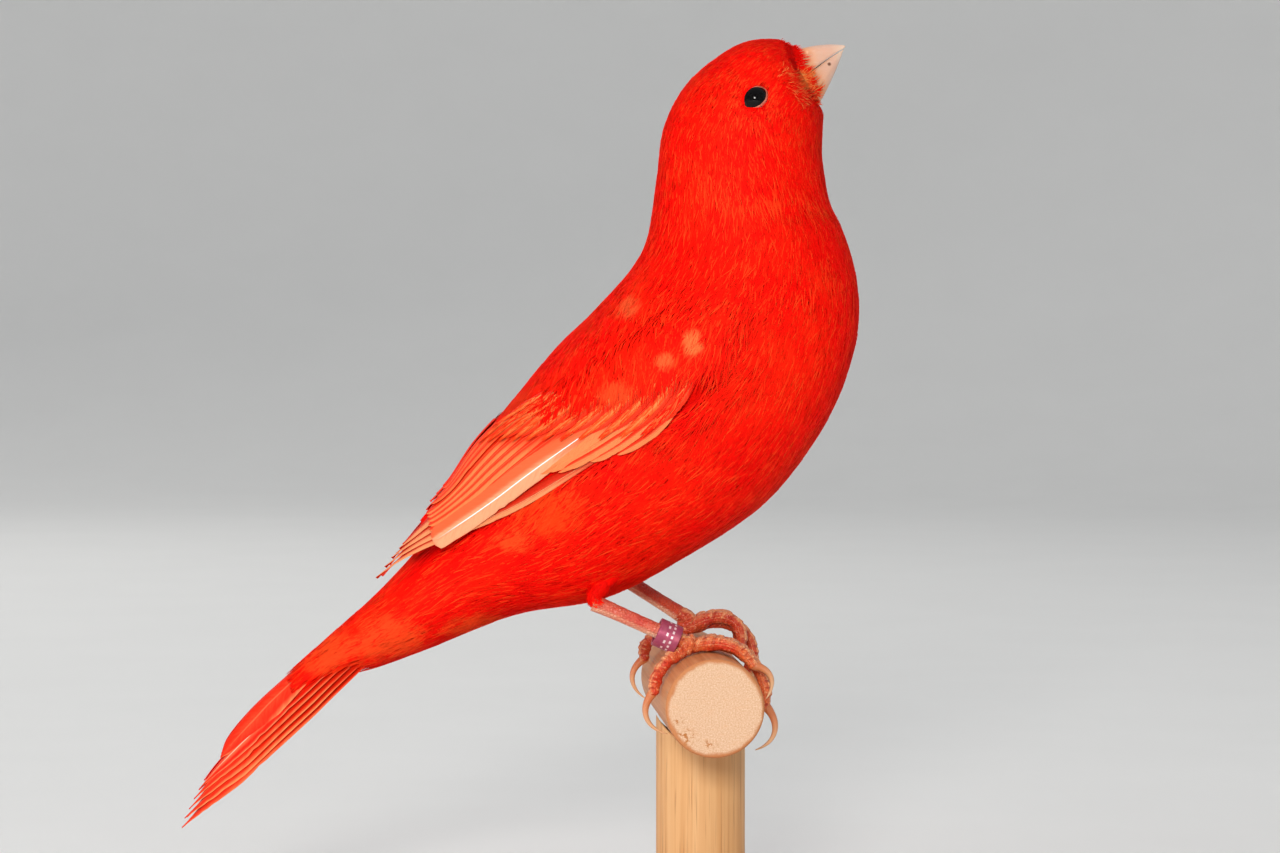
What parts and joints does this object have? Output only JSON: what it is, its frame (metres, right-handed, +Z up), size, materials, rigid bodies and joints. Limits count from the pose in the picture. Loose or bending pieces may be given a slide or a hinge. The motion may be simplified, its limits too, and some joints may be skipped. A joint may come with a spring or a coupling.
{
  "type": "perched canary",
  "caption": "Life-size red canary with folded wings, raised bill and long notched tail, gripping a cut dowel on a plain round display stand.",
  "frame": {"origin": "on the floor, at the middle of the stand base's flat underside, below the post", "axes": "+Z up, +X the way the bird faces, +Y the bird's left; the bird's middle plane is Y = 0"},
  "size_m": [0.1002, 0.064, 0.119],
  "materials": {
    "plumage": "soft red feathers",
    "flight_feathers": "smooth orange-red vanes with pale shafts",
    "bill": "smooth pale horn",
    "eye": "wet black",
    "leg_skin": "small horny scales",
    "claw": "smooth horn",
    "band": "violet anodised with pale ticks",
    "perch_wood": "bare sanded dowel",
    "stand_wood": "bare sanded wood"
  },
  "bodies": {
    "root": {"head": "plumage", "bill_upper": "bill", "bill_lower": "bill", "eye_right": "eye", "eye_left": "eye", "neck": "plumage", "torso": "plumage", "rump": "plumage", "tail": "flight_feathers", "wing_right": "flight_feathers", "thigh_right": "plumage", "tarsus_right": "leg_skin", "foot_right": "leg_skin", "claw_right_outer": "claw", "claw_right_middle": "claw", "claw_right_inner": "claw", "claw_right_hind": "claw", "wing_left": "flight_feathers", "thigh_left": "plumage", "tarsus_left": "leg_skin", "foot_left": "leg_skin", "claw_left_outer": "claw", "claw_left_middle": "claw", "claw_left_inner": "claw", "claw_left_hind": "claw", "leg_band": "band", "perch": "perch_wood", "stand_post": "stand_wood", "stand_base": "stand_wood"}
  },
  "joints": []
}
